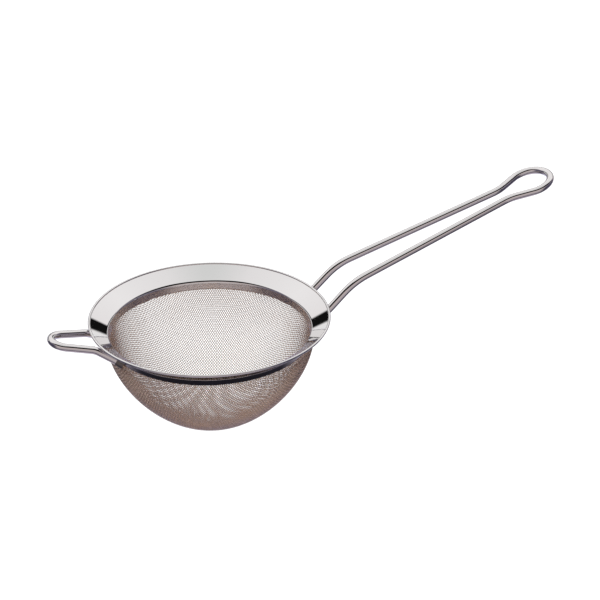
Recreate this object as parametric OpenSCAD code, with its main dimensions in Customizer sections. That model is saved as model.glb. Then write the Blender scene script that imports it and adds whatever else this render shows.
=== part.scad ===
// Tea strainer: a woven stainless bowl clamped in a wide polished rim, with a bent-wire
// handle on one side and a bent-wire rest loop on the other.
// Millimetres. The origin is the centre of the rim's mouth, level with the lip's top.
// +Z is up and +X points along the handle.

/* [Rim] */
// Outside diameter of the rim, over the lip
rim_d = 94; // [93:0.5:95]
// Thickness of the rim's sheet
rim_sheet = 0.4; // [0.3:0.05:0.5]
// Diameter of the bead rolled at the rim's edge
lip_d = 1; // [0.9:0.05:1.1]
// Slope of the flange from the lip down to the collar, in degrees
flange_slope = 34; // [33:0.5:35]
// Inside diameter of the collar at its foot
collar_d = 77.5; // [77.3:0.1:77.7]
// Lean of the collar's wall, in degrees
collar_taper = 10.8; // [9:0.2:12]
// Depth of the collar's foot under the lip
collar_depth = 8.1; // [7.9:0.1:8.3]
// Radius of the bend between the flange and the collar
crease_r = 1.5; // [1.2:0.1:1.6]

/* [Mesh bowl] */
// Thickness of the cloth, two wires where they cross
cloth_t = 0.4; // [0.3:0.02:0.42]
// How far the cloth stands out past the band, under the band's edge
bulge = 0.65; // [0.4:0.05:0.8]
// Depth of the bowl under its widest place
bowl_depth = 38.6; // [36:0.2:42]
// Fullness of the bowl's flank: 2 is round, less is more pointed
flank_fullness = 1.65; // [1.5:0.05:2]
// Fullness of the bowl's bottom: 2 is round, less is more pointed
bottom_fullness = 1.75; // [1.5:0.05:2]

/* [Clamp band] */
// Thickness of the band that grips the cloth against the collar
band_sheet = 0.3; // [0.2:0.05:0.4]
// Height of the band
band_h = 2.3; // [1.8:0.1:2.3]

/* [Handle] */
// Diameter of the handle's and the rest loop's wire
wire_d = 3; // [2.6:0.1:3.1]
// Distance from the rim's centre to the handle's bend
bend_x = 57.2; // [56:0.2:60]
// Height of the handle's bend over the lip
bend_z = 7.5; // [7:0.1:9]
// Distance between the legs' centres at the bend
bend_gap = 17.2; // [16:0.2:18]
// Distance from the rim's centre to the waist where the eye begins
waist_x = 127.4; // [115:0.2:135]
// Height of the waist over the lip
waist_z = 30.4; // [28:0.2:32]
// Distance between the legs' centres at the waist
waist_gap = 8.8; // [8:0.2:11]
// Radius of the eye at the handle's end, to the wire's centre
eye_r = 8.5; // [7.5:0.1:9]
// Length of the eye, from the waist to the wire's centre at the tip
eye_length = 20.6; // [20:0.2:24]
// Slope of the eye, in degrees
eye_slope = 18; // [14:0.5:19]

/* [Rest loop] */
// Distance from the rim's centre to the rest loop's bend
rest_bend_x = 47.4; // [47.4:0.1:49]
// Height of the rest loop's bend over the lip
rest_bend_z = -2.2; // [-2.6:0.1:-2.2]
// Distance between the rest loop's legs at the bend
rest_gap = 14.6; // [13:0.2:15]
// Distance from the rim's centre to the wire's centre at the rest loop's tip
rest_tip_x = 62.3; // [61:0.1:65]
// Slope of the rest loop outside the bend, in degrees
rest_slope = 13; // [11:0.5:16]

/* [Hidden] */

// Working room between two pieces that are pressed together
fit_gap = 0.03;
wire_r = wire_d / 2;
lip_r = lip_d / 2;
rim_r = rim_d / 2;
// Facets round the rim, the band and the bowl
round_fn = 180;
// Colours
polished = [0.84, 0.85, 0.86];
cloth = [0.74, 0.69, 0.65];
welded = [0.7, 0.7, 0.71];

// --- Outlines of the pressed sheets, in radius and height ---

// The middle line of a sheet, moved to its left by shift
function left_of(a, b) = [a[1] - b[1], b[0] - a[0]] / norm(b - a);
function normal_at(line, i) = left_of(line[max(i - 1, 0)], line[min(i + 1, len(line) - 1)]);
function moved(line, shift) = [for (i = [0 : len(line) - 1]) line[i] + shift * normal_at(line, i)];
function reversed(list) = [for (i = [len(list) - 1 : -1 : 0]) list[i]];
// The outline of a strip of sheet between two such lines
function strip(line, low, high) = concat(moved(line, low), reversed(moved(line, high)));

// The rim's middle line: down the flange from the bead, round the crease and down the collar
flange_top = [rim_r - lip_r, -lip_r];
foot = [collar_d / 2 + rim_sheet / 2, -collar_depth];
corner_rise = (collar_depth - lip_r - (flange_top[0] - foot[0]) * tan(flange_slope))
    / (1 - tan(collar_taper) * tan(flange_slope));
corner = foot + corner_rise * [tan(collar_taper), 1];
crease_mid_r = crease_r + rim_sheet / 2;
crease_turn = 90 - flange_slope - collar_taper;
crease_run = crease_mid_r * tan(crease_turn / 2);
crease_start = corner + crease_run * [cos(flange_slope), sin(flange_slope)];
crease_centre = crease_start + crease_mid_r * [sin(flange_slope), -cos(flange_slope)];
crease_steps = 8;
crease = [for (i = [0 : crease_steps])
    let (t = 90 + flange_slope + crease_turn * i / crease_steps)
    crease_centre + crease_mid_r * [cos(t), sin(t)]];
rim_line = concat([flange_top], crease, [foot]);

// The cloth's margin and the band lie against the collar's outside, one on the other
collar_line = [foot + band_h * [tan(collar_taper), 1], foot];
cloth_low = rim_sheet / 2 + fit_gap;
cloth_high = cloth_low + cloth_t;
band_low = cloth_high + fit_gap;
band_high = band_low + band_sheet;

// Under the band's edge the cloth turns out over a narrow shoulder to its widest place
margin_r = foot[0] + cloth_high / cos(collar_taper);
bowl_r = foot[0] + band_high / cos(collar_taper) + bulge;
turn_z = -collar_depth - 0.3;
widest_z = -collar_depth - 0.9;
shoulder_outside = [[margin_r, turn_z], [bowl_r - 0.25, turn_z - 0.15]];
shoulder_inside = [[margin_r - cloth_t, turn_z - cloth_t]];

// The bowl's outline from its widest place to the bottom, its outside drawn in by inset
bowl_steps = 28;
function bowl_curve(inset) =
    [for (i = [0 : bowl_steps])
        let (t = 90 * i / bowl_steps)
        [(bowl_r - inset) * pow(cos(t), 2 / bottom_fullness),
         widest_z - (bowl_depth - inset) * pow(sin(t), 2 / flank_fullness)]];

// --- Bent wire ---

// Steps in each rounded corner of a wire, and sides round it
corner_steps = 6;
wire_sides = 16;

function unit(v) = v / norm(v);
// One corner of a wire at b, rounded to radius r between the points a and c
function rounded(a, b, c, r) =
    let (
        u = unit(a - b),
        v = unit(c - b),
        half = acos(u * v) / 2,
        turn = 180 - 2 * half,
        centre = b + unit(u + v) * r / sin(half),
        first = b + u * r / tan(half) - centre,
        second = b + v * r / tan(half) - centre,
        across = r * unit(second - first * cos(turn)))
    [for (i = [0 : corner_steps])
        centre + first * cos(turn * i / corner_steps) + across * sin(turn * i / corner_steps)];

// Rings of points round the path, each square to the wire's direction there
function direction(path, i) = unit(path[min(i + 1, len(path) - 1)] - path[max(i - 1, 0)]);
function ring(path, i) =
    let (
        along = direction(path, i),
        side = unit(cross([0, 0, 1], along)),
        up = cross(along, side))
    [for (k = [0 : wire_sides - 1])
        let (t = 360 * (k + 0.5) / wire_sides)
        path[i] + wire_r * (side * cos(t) + up * sin(t))];

module swept_wire(path) {
    last = len(path) - 1;
    skin = [for (i = [0 : last - 1], k = [0 : wire_sides - 1])
        let (next = (k + 1) % wire_sides)
        [i * wire_sides + k, (i + 1) * wire_sides + k, (i + 1) * wire_sides + next, i * wire_sides + next]];
    start_cap = [for (k = [0 : wire_sides - 1]) k];
    end_cap = [for (k = [wire_sides - 1 : -1 : 0]) last * wire_sides + k];
    polyhedron(
        points = [for (i = [0 : last], p = ring(path, i)) p],
        faces = concat(skin, [start_cap], [end_cap]),
        convexity = 6);
}

// The whole wire, from its leg on the +Y side: the leg, and back along its mirror image
function whole_wire(leg) =
    concat(leg, [for (i = [len(leg) - 2 : -1 : 0]) [leg[i][0], -leg[i][1], leg[i][2]]]);

// The loop that ends a wire, in a plane that slopes up from its start. Its flank leaves the
// point (0, half_gap) and runs as a tangent on to the circle of radius r at the tip
loop_steps = 12;
function loop_half(start, length, half_gap, r, slope) =
    let (
        out = length - r,
        tangent = 180 - atan2(half_gap, out) - acos(r / norm([out, half_gap])))
    [for (i = [0 : loop_steps])
        let (
            t = tangent * (1 - i / loop_steps),
            along = out + r * cos(t))
        [start[0] + along * cos(slope), r * sin(t), start[2] + along * sin(slope)]];

// Handle: a leg rises under the flange, bends twice, runs out to the waist and ends in the eye
handle_foot = [38.4, 9, -7.85];
handle_tuck = [46.6, 8.8, -2.4];
handle_bend = [bend_x, bend_gap / 2, bend_z];
handle_waist = [waist_x, waist_gap / 2, waist_z];
tuck_r = 12;
bend_r = 26;
waist_r = 14;
eye = loop_half(handle_waist, eye_length, waist_gap / 2, eye_r, eye_slope);
handle_leg = concat(
    [handle_foot],
    rounded(handle_foot, handle_tuck, handle_bend, tuck_r),
    rounded(handle_tuck, handle_bend, handle_waist, bend_r),
    rounded(handle_bend, handle_waist, eye[0], waist_r),
    eye);

// Rest loop: drawn on the +X side and turned half round
rest_foot = [38.4, 11.8, -7.75];
rest_bend = [rest_bend_x, rest_gap / 2, rest_bend_z];
rest_bend_r = 8;
rest_r = 5.6;
rest_length = (rest_tip_x - rest_bend_x) / cos(rest_slope);
rest_end = loop_half(rest_bend, rest_length, rest_gap / 2, rest_r, rest_slope);
rest_leg = concat([rest_foot], rounded(rest_foot, rest_bend, rest_end[0], rest_bend_r), rest_end);

// --- Parts ---

// Pressed from one sheet: a rolled lip, a flange that funnels in and a short collar
module rim() {
    color(polished)
    union() {
        rotate_extrude($fn = round_fn) polygon(strip(rim_line, -rim_sheet / 2, rim_sheet / 2));
        rotate_extrude($fn = round_fn) translate(flange_top) circle(r = lip_r, $fn = 32);
    }
}

// Woven wire cloth, pressed to a bowl, with a margin held between the collar and the band
module mesh_bowl() {
    outside = concat(moved(collar_line, cloth_high), shoulder_outside, bowl_curve(0));
    inside = concat(moved(collar_line, cloth_low), shoulder_inside, bowl_curve(cloth_t));
    color(cloth)
    rotate_extrude($fn = round_fn) polygon(concat(outside, reversed(inside)));
}

// Thin hoop that grips the cloth against the outside of the collar
module clamp_band() {
    color(polished)
    rotate_extrude($fn = round_fn) polygon(strip(collar_line, band_low, band_high));
}

// The space inside the band's outer face and under it, which wires and welds are trimmed to
trim_reach = 5;
module inside_band() {
    face_r = foot[0] + (band_high + fit_gap) / cos(collar_taper);
    lean = trim_reach * tan(collar_taper);
    translate([0, 0, -collar_depth - trim_reach])
    cylinder(r1 = face_r - lean, r2 = face_r + lean, h = 2 * trim_reach, $fn = round_fn);
    translate([0, 0, turn_z - trim_reach])
    cylinder(r = bowl_r + fit_gap, h = trim_reach, $fn = round_fn);
}

module trimmed_wire(leg) {
    difference() {
        swept_wire(whole_wire(leg));
        inside_band();
    }
}

module handle_wire() {
    color(polished) trimmed_wire(handle_leg);
}

module rest_wire() {
    color(polished) rotate([0, 0, 180]) trimmed_wire(rest_leg);
}

// A fillet of weld metal round a wire where it meets the band, on the line from a to b
weld_r = 1.95;
weld_l = 2.9;
module weld(a, b) {
    d = unit(b - a);
    difference() {
        translate(a) rotate([0, acos(d[2]), atan2(d[1], d[0])])
        difference() {
            cylinder(r1 = weld_r, r2 = wire_r + 0.15, h = weld_l, $fn = 48);
            translate([0, 0, -1]) cylinder(r = wire_r + fit_gap, h = weld_l + 2, $fn = 48);
        }
        inside_band();
    }
}

module weld_pair(a, b) {
    weld(a, b);
    mirror([0, 1, 0]) weld(a, b);
}

module handle_welds() {
    color(welded) weld_pair(handle_foot, handle_tuck);
}

module rest_welds() {
    color(welded) rotate([0, 0, 180]) weld_pair(rest_foot, rest_bend);
}

rim();
mesh_bowl();
clamp_band();
handle_wire();
rest_wire();
handle_welds();
rest_welds();
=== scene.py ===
"""Tea strainer: polished pressed rim, woven wire bowl, bent-wire handle and rest loop."""

import math

import bpy
import numpy as np
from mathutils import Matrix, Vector


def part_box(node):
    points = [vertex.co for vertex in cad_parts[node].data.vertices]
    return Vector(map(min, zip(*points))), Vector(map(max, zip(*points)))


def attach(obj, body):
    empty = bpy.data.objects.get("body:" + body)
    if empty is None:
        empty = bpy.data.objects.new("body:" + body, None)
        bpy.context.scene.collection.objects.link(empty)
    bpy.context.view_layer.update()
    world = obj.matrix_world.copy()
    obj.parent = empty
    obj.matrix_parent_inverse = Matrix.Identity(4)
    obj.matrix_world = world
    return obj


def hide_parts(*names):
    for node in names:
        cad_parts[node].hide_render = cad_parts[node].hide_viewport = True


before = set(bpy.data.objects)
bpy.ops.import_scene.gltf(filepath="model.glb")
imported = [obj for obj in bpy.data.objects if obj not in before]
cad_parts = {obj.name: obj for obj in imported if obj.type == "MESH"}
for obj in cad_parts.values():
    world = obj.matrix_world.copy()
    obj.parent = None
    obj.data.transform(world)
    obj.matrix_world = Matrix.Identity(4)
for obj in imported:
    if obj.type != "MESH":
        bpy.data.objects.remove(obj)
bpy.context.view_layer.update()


# The rim, pressed from one stainless sheet 0.4 mm thick: the edge is rolled into a small bead,
# the flange funnels inwards and the collar stands inside the clamp band. It is spun here from
# the sheet's own section.

MM = 0.001  # one millimetre, in metres
rim_low, rim_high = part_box("rim")
rim_radius = rim_high.x
rim_sheet = 0.4 * MM
bead_radius = 0.5 * MM
collar_depth = -rim_low.z
flange_slope = math.radians(34)
collar_taper = math.radians(10.8)
collar_foot_radius = 38.95 * MM
crease_radius = 1.7 * MM
steps_round = 256


def flat_point(x, z):
    """A point of a section that is drawn in the plane through the axis."""
    return Vector((x, 0, z))


def along(angle):
    """The direction at that angle from level, in the section's plane."""
    return flat_point(math.cos(angle), math.sin(angle))


def arc_points(centre, radius, start, end, steps):
    """Points of a round stretch of a section, angles in radians."""
    return [centre + radius * along(start + (end - start) * i / steps) for i in range(steps + 1)]


bead_centre = flat_point(rim_radius - bead_radius, -bead_radius)
collar_foot = flat_point(collar_foot_radius, -collar_depth)
corner_rise = (collar_depth - bead_radius - (bead_centre.x - collar_foot.x) * math.tan(flange_slope)) / (
    1 - math.tan(collar_taper) * math.tan(flange_slope))
crease_corner = collar_foot + corner_rise * flat_point(math.tan(collar_taper), 1)
crease_turn = math.pi / 2 - flange_slope - collar_taper
crease_start = crease_corner + crease_radius * math.tan(crease_turn / 2) * along(flange_slope)
crease_centre = crease_start - crease_radius * along(flange_slope + math.pi / 2)


def rim_section():
    """The sheet's outline: up the inner face, round the bead, and back down the outer face."""
    half = rim_sheet / 2
    square_to_flange = flange_slope + math.pi / 2
    outward = along(-collar_taper)
    bead_join = math.asin(half / bead_radius)
    inner = [collar_foot - half * 0.5 * outward, collar_foot + half * (0.5 * along(math.pi / 2) - outward)]
    inner += arc_points(crease_centre, crease_radius + half, math.pi - collar_taper, square_to_flange, 12)
    bead = arc_points(bead_centre, bead_radius, flange_slope + math.pi - bead_join,
                      flange_slope - math.pi + bead_join, 20)
    outer = arc_points(crease_centre, crease_radius - half, square_to_flange, math.pi - collar_taper, 12)
    outer += [collar_foot + half * (0.5 * along(math.pi / 2) + outward), collar_foot + half * 0.5 * outward]
    return inner + bead + outer


def nothing_selected():
    """Edit mode off and nothing selected, so that the next operator acts on its own piece only."""
    if bpy.context.object and bpy.context.object.mode == "EDIT":
        bpy.ops.object.mode_set(mode="OBJECT")
    bpy.ops.object.select_all(action="DESELECT")


def drawn_outline(name, points, closed):
    """A line of edges through the points, extruded one by one from a single vertex."""
    nothing_selected()
    bpy.ops.mesh.primitive_plane_add(size=MM, location=points[0])
    piece = bpy.context.object
    piece.name = piece.data.name = name
    bpy.ops.object.transform_apply(location=True)
    bpy.ops.object.mode_set(mode="EDIT")
    bpy.ops.mesh.merge(type="CENTER")
    for here, there in zip(points, points[1:]):
        bpy.ops.mesh.extrude_region_move(TRANSFORM_OT_translate={"value": there - here})
    if closed:
        bpy.ops.mesh.select_all(action="SELECT")
        bpy.ops.mesh.edge_face_add()
        bpy.ops.mesh.delete(type="ONLY_FACE")
    return piece


def spun(name, points, steps):
    """A closed section spun full circle about the upright axis, with its seam closed."""
    piece = drawn_outline(name, points, closed=True)
    bpy.ops.mesh.select_all(action="SELECT")
    bpy.ops.mesh.spin(steps=steps, angle=2 * math.pi, center=(0, 0, 0), axis=(0, 0, 1))
    bpy.ops.mesh.select_all(action="SELECT")
    bpy.ops.mesh.remove_doubles(threshold=0.001 * MM)
    bpy.ops.mesh.normals_make_consistent(inside=False)
    bpy.ops.object.mode_set(mode="OBJECT")
    bpy.ops.object.shade_smooth_by_angle(angle=math.radians(35))
    return piece


rim = spun("rim_sheet", rim_section(), steps_round)


def linear(hex_colour):
    """An sRGB hex colour as the linear values that a socket takes."""
    channels = [int(hex_colour[i:i + 2], 16) / 255 for i in (1, 3, 5)]
    return [c / 12.92 if c <= 0.04045 else ((c + 0.055) / 1.055) ** 2.4 for c in channels] + [1]


def add_node(material, kind, settings, links):
    """One node, its settings by attribute or input, and its links from other nodes' outputs. An
    input goes by its name, or by its number where names repeat."""
    tree = material.node_tree
    node = tree.nodes.new(kind)
    for name, value in settings.items():
        if isinstance(name, int) or name in node.inputs:
            node.inputs[name].default_value = value
        else:
            setattr(node, name, value)
    for name, (source, output) in links.items():
        tree.links.new(source.outputs[output], node.inputs[name])
    return node


def new_metal(name, hex_colour, roughness):
    """A bare metal with no pattern yet, and the shader that its pattern joins on to. A pattern
    that is joined on takes the place of the colour or the roughness given here."""
    material = bpy.data.materials.new(name)
    material.use_nodes = True
    material.node_tree.nodes.clear()
    shader = add_node(material, "ShaderNodeBsdfPrincipled",
                      {"Base Color": linear(hex_colour), "Metallic": 1.0, "Roughness": roughness}, {})
    add_node(material, "ShaderNodeOutputMaterial", {}, {"Surface": (shader, "BSDF")})
    return material, shader


def mirror_polished_stainless():
    """Stainless sheet pressed and buffed to a mirror: sharp reflections, slightly uneven where
    the press pulled the sheet over about 22 mm, with faint smears of haze about 5 mm across."""
    pull_width = 22.2 * MM
    smear_width = 5 * MM
    material, shader = new_metal("mirror_polished_stainless", "#e9e8e8", 0.05)
    place = add_node(material, "ShaderNodeTexCoord", {}, {})
    pull = add_node(material, "ShaderNodeTexNoise", {"Scale": 1 / pull_width, "Detail": 1.0},
                    {"Vector": (place, "Object")})
    unevenness = add_node(material, "ShaderNodeBump", {"Strength": 0.12, "Distance": 0.05 * MM},
                          {"Height": (pull, "Fac")})
    material.node_tree.links.new(unevenness.outputs["Normal"], shader.inputs["Normal"])
    smear = add_node(material, "ShaderNodeTexNoise", {"Scale": 1 / smear_width, "Detail": 4.0},
                     {"Vector": (place, "Object")})
    haze = add_node(material, "ShaderNodeMapRange",
                    {"From Min": 0.35, "From Max": 0.75, "To Min": 0.015, "To Max": 0.06},
                    {"Value": (smear, "Fac")})
    material.node_tree.links.new(haze.outputs["Result"], shader.inputs["Roughness"])
    return material


polished_sheet = mirror_polished_stainless()
rim.data.materials.append(polished_sheet)
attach(rim, "root")
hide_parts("rim")


# The clamp band, a thin stainless hoop that grips the cloth's margin against the collar. Its
# upper edge is tucked under the flange and its lower edge shows as the line where the cloth starts.

band_sheet = 0.3 * MM
cloth_thickness = 0.4 * MM
press_gap = 0.03 * MM
band_height = 2.3 * MM


def band_section():
    """A leaning strip with its corners taken off."""
    outward = along(-collar_taper)
    up = along(math.pi / 2 - collar_taper)
    inside = collar_foot + (rim_sheet / 2 + press_gap + cloth_thickness + press_gap) * outward
    length = band_height / math.cos(collar_taper)
    ease = 0.08 * MM
    corners = [(0, ease), (ease, 0), (band_sheet - ease, 0), (band_sheet, ease),
               (band_sheet, length - ease), (band_sheet - ease, length), (ease, length), (0, length - ease)]
    return [inside + across * outward + rise * up for across, rise in corners]


band = spun("clamp_hoop", band_section(), steps_round)
band.data.materials.append(polished_sheet)
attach(band, "root")
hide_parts("clamp_band")


# The bowl, plain-weave stainless wire cloth cut as a round blank and pressed over a form, so the
# weave opens along the flank and closes round it. The real wires are about 0.2 mm thick and
# 0.76 mm apart. They are drawn a little coarser, or the weave would be too fine to show.

wire_spacing = 0.86 * MM
wire_thickness = 0.27 * MM
weave_turn = math.radians(23)
bowl_low, bowl_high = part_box("mesh_bowl")
widest_depth = collar_depth + 0.9 * MM
bowl_depth = -widest_depth - bowl_low.z
flank_fullness = 1.65
bottom_fullness = 1.75
cloth_middle = rim_sheet / 2 + press_gap + cloth_thickness / 2
stretch_on_the_diagonals = 0.16
spread_of_the_wires = 0.07


def pressed_profile(steps=400):
    """The cloth's middle line from the bottom of the bowl out to its widest place, in over the
    shoulder under the band and up the margin: distance along the cloth, radius and height."""
    widest_radius = bowl_high.x - cloth_thickness / 2
    margin_radius = collar_foot.x + cloth_middle / math.cos(collar_taper)
    turn = np.linspace(math.pi / 2, 0, steps)
    radius = widest_radius * np.cos(turn) ** (2 / bottom_fullness)
    height = -widest_depth - (bowl_depth - cloth_thickness / 2) * np.sin(turn) ** (2 / flank_fullness)
    shoulder = np.linspace(0, math.pi / 2, 8)[1:]
    shoulder_height = 0.35 * MM
    radius = np.append(radius, widest_radius + (margin_radius - widest_radius) * (1 - np.cos(shoulder)))
    height = np.append(height, -widest_depth + shoulder_height * np.sin(shoulder))
    margin = np.linspace(0, band_height, 12)[1:]
    radius = np.append(radius, margin_radius + margin * math.tan(collar_taper))
    height = np.append(height, -collar_depth + margin)
    radius[0] = 0.0
    steps_along = np.hypot(np.diff(radius), np.diff(height))
    return np.append(0.0, np.cumsum(steps_along)), radius, height


profile_along, profile_radius, profile_height = pressed_profile()
blank_radius = profile_along[-1]


def pressed(flat):
    """Where points of the flat blank lie on the bowl, the way out of the bowl there, and which
    points are inside the blank's edge. The cloth gives most along the diagonals of its weave."""
    reach = np.hypot(flat[:, 0], flat[:, 1])
    angle = np.arctan2(flat[:, 1], flat[:, 0])
    share = (reach / blank_radius) ** 2
    stretched = reach * (1 + stretch_on_the_diagonals * share * np.sin(2 * angle) ** 2)
    angle = angle + spread_of_the_wires * share * np.sin(4 * angle)
    radius = np.interp(stretched, profile_along, profile_radius)
    height = np.interp(stretched, profile_along, profile_height)
    slope_r = np.gradient(profile_radius, profile_along)
    slope_z = np.gradient(profile_height, profile_along)
    lean_r = np.interp(stretched, profile_along, slope_z)
    lean_z = -np.interp(stretched, profile_along, slope_r)
    place = np.stack([radius * np.cos(angle), radius * np.sin(angle), height], 1)
    outward = np.stack([lean_r * np.cos(angle), lean_r * np.sin(angle), lean_z], 1)
    outward /= np.linalg.norm(outward, axis=1)[:, None]
    return place, outward, stretched <= blank_radius


def mesh_points(piece):
    """A mesh's vertices as an array."""
    flat = np.zeros(len(piece.data.vertices) * 3, np.float32)
    piece.data.vertices.foreach_get("co", flat)
    return flat.reshape(-1, 3).astype(float)


turned_round = np.array([[math.cos(weave_turn), math.sin(weave_turn), 0],
                         [-math.sin(weave_turn), math.cos(weave_turn), 0], [0, 0, 1]])


def woven_wires(name, along_x, first, last):
    """The wires of one direction from number first to last, woven flat, cut round, pressed
    to the bowl and given their thickness."""
    reach = math.ceil(blank_radius / wire_spacing)
    length = 2 * reach * wire_spacing
    width = (last - first) * wire_spacing
    nothing_selected()
    bpy.ops.mesh.primitive_grid_add(x_subdivisions=4 * reach, y_subdivisions=last - first, size=1)
    piece = bpy.context.object
    piece.name = piece.data.name = name
    points = mesh_points(piece)
    lengthwise = points[:, 0] * length
    crosswise = points[:, 1] * width + (first + last) / 2 * wire_spacing
    number = np.rint(crosswise / wire_spacing)
    wave = np.cos(np.pi * lengthwise / wire_spacing) * np.where(number % 2 == 0, 1, -1)
    flat = np.stack([lengthwise, crosswise] if along_x else [crosswise, lengthwise], 1)
    if not along_x:
        wave = -wave
    place, outward, kept = pressed(flat)
    woven = (place + outward * (wave * wire_thickness * 0.5)[:, None]) @ turned_round
    piece.data.vertices.foreach_set("co", woven.ravel())
    ends = np.zeros(len(piece.data.edges) * 2, np.int32)
    piece.data.edges.foreach_get("vertices", ends)
    ends = ends.reshape(-1, 2)
    crossing = number[ends[:, 0]] != number[ends[:, 1]]
    bpy.ops.object.mode_set(mode="EDIT")
    bpy.ops.mesh.delete(type="ONLY_FACE")
    bpy.ops.mesh.select_mode(type="EDGE")
    bpy.ops.mesh.select_all(action="DESELECT")
    bpy.ops.object.mode_set(mode="OBJECT")
    piece.data.edges.foreach_set("select", crossing)
    bpy.ops.object.mode_set(mode="EDIT")
    bpy.ops.mesh.delete(type="EDGE")
    bpy.ops.mesh.select_mode(type="VERT")
    bpy.ops.mesh.select_all(action="DESELECT")
    bpy.ops.object.mode_set(mode="OBJECT")
    piece.data.vertices.foreach_set("select", ~kept)
    bpy.ops.object.mode_set(mode="EDIT")
    bpy.ops.mesh.delete(type="VERT")
    bpy.ops.object.mode_set(mode="OBJECT")
    bpy.ops.object.convert(target="CURVE")
    piece = bpy.context.object
    piece.data.dimensions = "3D"
    piece.data.fill_mode = "FULL"
    piece.data.twist_mode = "Z_UP"
    piece.data.bevel_depth = wire_thickness / 2
    piece.data.bevel_resolution = 0
    piece.data.use_fill_caps = True
    bpy.ops.object.convert(target="MESH")
    piece = bpy.context.object
    piece.name = piece.data.name = name
    bpy.ops.object.shade_smooth()
    return piece


def drawn_stainless_wire():
    """Fine stainless wire, drawn and woven: bright but not polished, so its shine is soft, with a
    faint warm tint that changes over patches about 17 mm across."""
    patch_width = 16.7 * MM
    material, shader = new_metal("drawn_stainless_wire", "#ecdaca", 0.27)
    place = add_node(material, "ShaderNodeTexCoord", {}, {})
    patches = add_node(material, "ShaderNodeTexNoise", {"Scale": 1 / patch_width, "Detail": 3.0},
                       {"Vector": (place, "Object")})
    tint = add_node(material, "ShaderNodeValToRGB", {}, {"Fac": (patches, "Fac")})
    paler, warmer = tint.color_ramp.elements
    paler.position = 0.35
    paler.color = linear("#ebdacd")
    warmer.position = 0.7
    warmer.color = linear("#efdac6")
    material.node_tree.links.new(tint.outputs["Color"], shader.inputs["Base Color"])
    return material


woven_wire = drawn_stainless_wire()
wire_reach = math.floor(blank_radius / wire_spacing)
middle_reach = 24  # the long wires in the middle are one piece, and those on either side another
cloth = []
for wires, along_x in (("warp", True), ("weft", False)):
    for side, first, last in (("a", -wire_reach, -middle_reach - 1), ("b", -middle_reach, middle_reach),
                              ("c", middle_reach + 1, wire_reach)):
        wire_group = woven_wires(f"{wires}_wires_{side}", along_x, first, last)
        wire_group.data.materials.append(woven_wire)
        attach(wire_group, "root")
        cloth.append(wire_group)
for wire_group in cloth:
    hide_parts("mesh_bowl")


# The handle, one 3 mm stainless wire: its feet are welded to the band, the legs rise under the
# flange, bend and close in to a waist, and the wire ends in a teardrop eye to hang it by.

wire_radius = 1.5 * MM


def rounded_corner(before, corner, after, radius, steps=10):
    """The bend of a wire at a corner, as points of an arc."""
    to_before, to_after = (before - corner).normalized(), (after - corner).normalized()
    half = to_before.angle(to_after) / 2
    turn = math.pi - 2 * half
    centre = corner + (to_before + to_after).normalized() * radius / math.sin(half)
    first = corner + to_before * radius / math.tan(half) - centre
    second = corner + to_after * radius / math.tan(half) - centre
    across = (second - first * math.cos(turn)).normalized() * radius
    return [centre + first * math.cos(turn * i / steps) + across * math.sin(turn * i / steps)
            for i in range(steps + 1)]


def end_loop(start, length, half_gap, radius, slope, steps=24):
    """Half of the loop that ends a wire, in a plane that slopes up from its start."""
    out = length - radius
    tangent = math.pi - math.atan2(half_gap, out) - math.acos(radius / math.hypot(out, half_gap))
    points = []
    for i in range(steps + 1):
        turn = tangent * (1 - i / steps)
        reach = out + radius * math.cos(turn)
        points.append(Vector((start.x + reach * math.cos(slope), radius * math.sin(turn),
                              start.z + reach * math.sin(slope))))
    return points


def bent_wire(name, leg):
    """A round wire through the leg's points and back along their mirror image."""
    points = leg + [Vector((p.x, -p.y, p.z)) for p in reversed(leg[:-1])]
    piece = drawn_outline(name, points, closed=False)
    nothing_selected()
    piece.select_set(True)
    bpy.context.view_layer.objects.active = piece
    bpy.ops.object.convert(target="CURVE")
    piece = bpy.context.object
    piece.data.dimensions = "3D"
    piece.data.fill_mode = "FULL"
    piece.data.twist_mode = "Z_UP"
    piece.data.bevel_depth = wire_radius
    piece.data.bevel_resolution = 10
    piece.data.use_fill_caps = True
    bpy.ops.object.convert(target="MESH")
    piece = bpy.context.object
    piece.name = piece.data.name = name
    bpy.ops.object.shade_smooth_by_angle(angle=math.radians(40))
    return piece


handle_foot = Vector((39.1, 9.0, -7.35)) * MM
handle_tuck = Vector((46.6, 8.8, -2.4)) * MM
handle_bend = Vector((57.2, 8.6, 7.5)) * MM
handle_waist = Vector((127.4, 4.4, 30.4)) * MM
eye = end_loop(handle_waist, 20.6 * MM, handle_waist.y, 8.5 * MM, math.radians(18))
handle_leg = ([handle_foot] + rounded_corner(handle_foot, handle_tuck, handle_bend, 12 * MM)
              + rounded_corner(handle_tuck, handle_bend, handle_waist, 26 * MM)
              + rounded_corner(handle_bend, handle_waist, eye[0], 14 * MM) + eye)
handle = bent_wire("handle_bent_wire", handle_leg)


def polished_stainless_wire():
    """Thick stainless wire, drawn and barrel-polished: bright, with patches of faint haze about
    6 mm across."""
    patch_width = 6.25 * MM
    material, shader = new_metal("polished_stainless_wire", "#e6e4e4", 0.05)
    place = add_node(material, "ShaderNodeTexCoord", {}, {})
    patches = add_node(material, "ShaderNodeTexNoise", {"Scale": 1 / patch_width, "Detail": 3.0},
                       {"Vector": (place, "Object")})
    haze = add_node(material, "ShaderNodeMapRange",
                    {"From Min": 0.3, "From Max": 0.75, "To Min": 0.03, "To Max": 0.08},
                    {"Value": (patches, "Fac")})
    material.node_tree.links.new(haze.outputs["Result"], shader.inputs["Roughness"])
    return material


polished_wire = polished_stainless_wire()
handle.data.materials.append(polished_wire)
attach(handle, "root")
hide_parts("handle_wire")


# The rest loop, a short length of the same wire opposite the handle. Its feet spread where they
# are welded to the band, and its tip lies on the far side of a wide cup.

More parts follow.
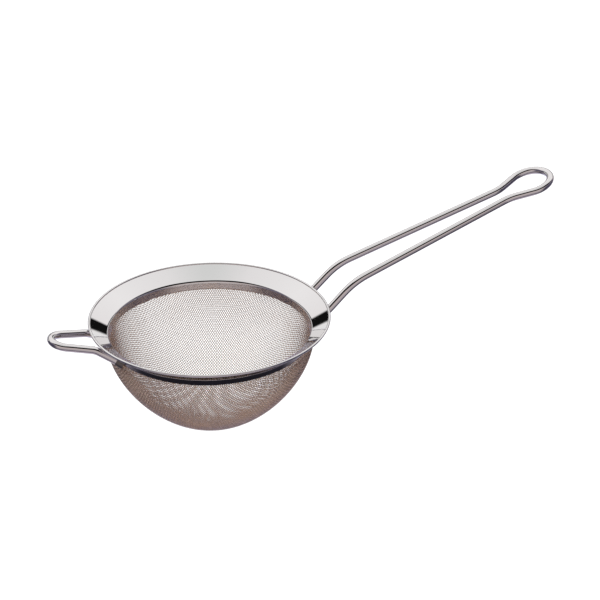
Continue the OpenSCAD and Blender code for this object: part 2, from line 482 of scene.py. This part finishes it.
rest_foot = Vector((38.8, 11.6, -7.5)) * MM
rest_bend = Vector((47.4, 7.3, -2.2)) * MM
rest_slope = math.radians(13)
rest_length = (62.3 * MM - rest_bend.x) / math.cos(rest_slope)
rest_end = end_loop(rest_bend, rest_length, rest_bend.y, 5.6 * MM, rest_slope)
rest_leg = [rest_foot] + rounded_corner(rest_foot, rest_bend, rest_end[0], 8 * MM) + rest_end
rest = bent_wire("rest_bent_wire", [Vector((-p.x, -p.y, p.z)) for p in rest_leg])
rest.data.materials.append(polished_wire)
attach(rest, "root")
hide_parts("rest_wire")


# The welds, small fillets of stainless where each foot of the two wires meets the band. They are
# pickled and brushed after welding, so they are duller than the polished wire. Their grey is partly
# the weld metal's own and is darkened further as painted shade, for the shade under the flange.


def pickled_weld():
    """Stainless weld metal, pickled and brushed: grey, darkened further as painted shade for the shade
    under the flange, with a rough shine and an uneven surface whose bumps are about 0.5 mm apart."""
    bump_spacing = 0.5 * MM
    # The base colour is darker than the weld metal's own grey: painted shade from the flange above.
    material, shader = new_metal("pickled_weld", "#726e6c", 0.3)
    place = add_node(material, "ShaderNodeTexCoord", {}, {})
    unevenness = add_node(material, "ShaderNodeTexNoise", {"Scale": 1 / bump_spacing, "Detail": 2.0},
                          {"Vector": (place, "Object")})
    bump = add_node(material, "ShaderNodeBump", {"Strength": 0.5, "Distance": 0.06 * MM},
                    {"Height": (unevenness, "Fac")})
    material.node_tree.links.new(bump.outputs["Normal"], shader.inputs["Normal"])
    return material


weld_metal = pickled_weld()
for welds in ("handle_welds", "rest_welds"):
    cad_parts[welds].data.materials.clear()
    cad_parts[welds].data.materials.append(weld_metal)


# The studio: a plain pale floor just under the bowl, a white tent overhead, and the dark edges of
# the room that polished steel shows as thin black lines. All of it is fixed to the room, so it
# stays where it is when the camera moves.

camera_turn = math.radians(-21.9)
camera_rise = math.radians(27.3)
camera_reach = 566.6 * MM
aim_right = 35.05 * MM
aim_up = 5.7 * MM
floor_gap = 0.4 * MM
look = Vector((-math.sin(camera_turn) * math.cos(camera_rise),
               math.cos(camera_turn) * math.cos(camera_rise), -math.sin(camera_rise)))
right = look.cross(Vector((0, 0, 1))).normalized()
up = right.cross(look)
nothing_selected()
bpy.ops.object.camera_add(location=right * aim_right + up * aim_up - look * camera_reach,
                          rotation=(math.pi / 2 - camera_rise, 0, camera_turn))
camera = bpy.context.object
camera.data.lens = 87.6
camera.data.clip_start = 0.01
bpy.context.scene.camera = camera

bpy.ops.mesh.primitive_plane_add(size=6, location=(0, 0, bowl_low.z - floor_gap))
floor = bpy.context.object
floor.name = floor.data.name = "studio_floor"


def lit_acrylic():
    """A sheet of white acrylic lit from below, which leaves almost no shadow."""
    material = bpy.data.materials.new("lit_acrylic")
    material.use_nodes = True
    shader = material.node_tree.nodes["Principled BSDF"]
    shader.inputs["Base Color"].default_value = linear("#7a7a7a")
    shader.inputs["Roughness"].default_value = 0.9
    shader.inputs["Emission Color"].default_value = linear("#ffffff")
    shader.inputs["Emission Strength"].default_value = 0.92
    return material


floor.data.materials.append(lit_acrylic())

world = bpy.context.scene.world or bpy.data.worlds.new("studio")
bpy.context.scene.world = world
world.use_nodes = True
world.node_tree.nodes.clear()
away = Vector((look.x, look.y, 0)).normalized()

# What the steel reflects, as colours at so many degrees above level: the white tent on the far
# side with its dark frame, the room on the near side, and the darker room to left and right.
direction = add_node(world, "ShaderNodeTexCoord", {}, {})
parts = add_node(world, "ShaderNodeSeparateXYZ", {}, {"Vector": (direction, "Generated")})
rise = add_node(world, "ShaderNodeMath", {"operation": "ARCSINE"}, {0: (parts, "Z")})
level = add_node(world, "ShaderNodeMapRange", {"From Min": -math.pi / 2, "From Max": math.pi / 2},
                 {"Value": (rise, "Value")})
bands_by_elevation = {
    "tent behind": [
        (-60, "#4a4858"), (-26, "#a6a2b4"), (-9, "#c8c8d4"), (-6, "#26282e"), (-3, "#26282e"),
        (-1.5, "#eceef0"), (6, "#f6f4f4"), (7.8, "#121212"), (15.6, "#121212"), (17, "#f6f3f3"),
        (40, "#fdfbfb"), (70, "#f3f1f1"), (85, "#e2e3e2")],
    "room in front": [
        (-84, "#c8bcc8"), (-58, "#a8a0aa"), (-53, "#1e1c22"), (-44, "#1e1c22"), (-38, "#9c94a0"),
        (10, "#c9bebd"), (29, "#c0b4b2"), (33, "#0e0c0e"), (61, "#0e0c0e"), (65, "#e2e2e2"),
        (85, "#e2e3e2")],
    "room on either side": [
        (-84, "#c8bcc8"), (-60, "#8c8692"), (-50, "#302e38"), (-25, "#363444"), (0, "#4a485e"),
        (16, "#7a7480"), (29, "#6e6876"), (34, "#1c1a1e"), (60, "#1c1a1e"), (64, "#dadada"),
        (85, "#e2e3e2")]}
ramps = {}
for part, bands in bands_by_elevation.items():
    ramps[part] = add_node(world, "ShaderNodeValToRGB", {"label": part}, {"Fac": (level, "Result")})
    elements = ramps[part].color_ramp.elements
    while len(elements) < len(bands):
        elements.new(0.5)
    for element, (degrees, colour) in zip(elements, bands):
        element.position = (degrees + 90) / 180
        element.color = linear(colour)
sideways = add_node(world, "ShaderNodeVectorMath", {"operation": "DOT_PRODUCT", 1: right},
                    {0: (direction, "Generated")})
either_side = add_node(world, "ShaderNodeMath", {"operation": "ABSOLUTE"}, {0: (sideways, "Value")})
side_share = add_node(world, "ShaderNodeMapRange",
                      {"interpolation_type": "SMOOTHSTEP", "From Min": 0.6, "From Max": 0.92},
                      {"Value": (either_side, "Value")})
sides = add_node(world, "ShaderNodeMixRGB", {}, {
    "Fac": (side_share, "Result"), "Color1": (ramps["room in front"], "Color"),
    "Color2": (ramps["room on either side"], "Color")})
tentward = add_node(world, "ShaderNodeVectorMath",
                    {"operation": "DOT_PRODUCT", 1: (away - 0.25 * right + Vector((0, 0, 1))).normalized()},
                    {0: (direction, "Generated")})
tent_share = add_node(world, "ShaderNodeMapRange",
                      {"interpolation_type": "SMOOTHSTEP", "From Min": 0.44, "From Max": 0.5},
                      {"Value": (tentward, "Value")})
tableward = add_node(world, "ShaderNodeVectorMath",
                     {"operation": "DOT_PRODUCT", 1: (away - 0.9 * Vector((0, 0, 1))).normalized()},
                     {0: (direction, "Generated")})
table_share = add_node(world, "ShaderNodeMapRange",
                       {"interpolation_type": "SMOOTHSTEP", "From Min": 0.8, "From Max": 0.92},
                       {"Value": (tableward, "Value")})
lower = add_node(world, "ShaderNodeMixRGB", {"Color2": linear("#bcb8d0")}, {
    "Fac": (table_share, "Result"), "Color1": (sides, "Color")})
whole = add_node(world, "ShaderNodeMixRGB", {}, {
    "Fac": (tent_share, "Result"), "Color1": (lower, "Color"), "Color2": (ramps["tent behind"], "Color")})

# Seen directly the background is plain white, and all else is lit by the surroundings.
surroundings = add_node(world, "ShaderNodeBackground", {"Strength": 1.0}, {"Color": (whole, "Color")})
plain = add_node(world, "ShaderNodeBackground", {"Strength": 1.0, "Color": (1, 1, 1, 1)}, {})
ray = add_node(world, "ShaderNodeLightPath", {}, {})
mix = add_node(world, "ShaderNodeMixShader", {}, {
    "Fac": (ray, "Is Camera Ray"), 1: (surroundings, "Background"), 2: (plain, "Background")})
add_node(world, "ShaderNodeOutputWorld", {}, {"Surface": (mix, "Shader")})

nothing_selected()
bpy.ops.object.light_add(type="AREA", location=(0, 0.1, 1.2))
key = bpy.context.object
key.name = "overhead_softbox"
key.data.shape = "DISK"
key.data.size = 2.0
key.data.energy = 20

# The steel doesn't reflect the softbox or the floor, only the surroundings.
key.visible_glossy = False
floor.visible_glossy = False

bpy.context.scene.view_settings.view_transform = "Standard"
